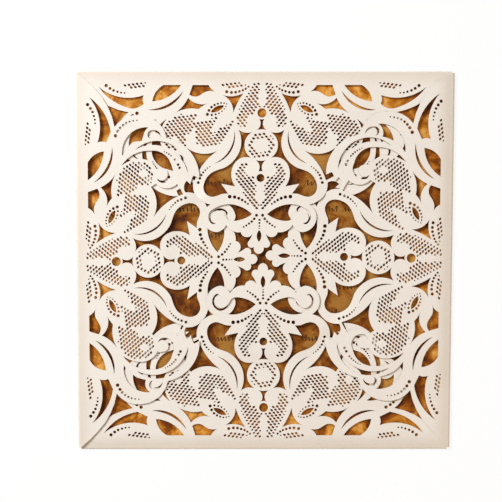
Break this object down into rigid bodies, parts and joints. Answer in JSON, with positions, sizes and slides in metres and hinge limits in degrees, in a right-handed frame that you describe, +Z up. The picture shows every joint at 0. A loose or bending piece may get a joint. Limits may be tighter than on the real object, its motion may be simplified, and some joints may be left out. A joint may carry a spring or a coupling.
{
  "type": "laser-cut invitation card",
  "caption": "Square invitation card: a pierced ivory paper sheet with lace flaps folded in from every side over a loose gold-brown insert card.",
  "frame": {"origin": "middle of the back panel's underside", "axes": "+Z up out of the lace side, +X towards the right flap, +Y towards the top flap"},
  "size_m": [0.15, 0.15, 0.0022],
  "materials": {
    "ivory_card": "pearl card with a fine shimmer",
    "gold_card": "metallic gold-brown card"
  },
  "bodies": {
    "root": {"lace_wrap": "ivory_card", "insert_card": "gold_card"}
  },
  "joints": []
}
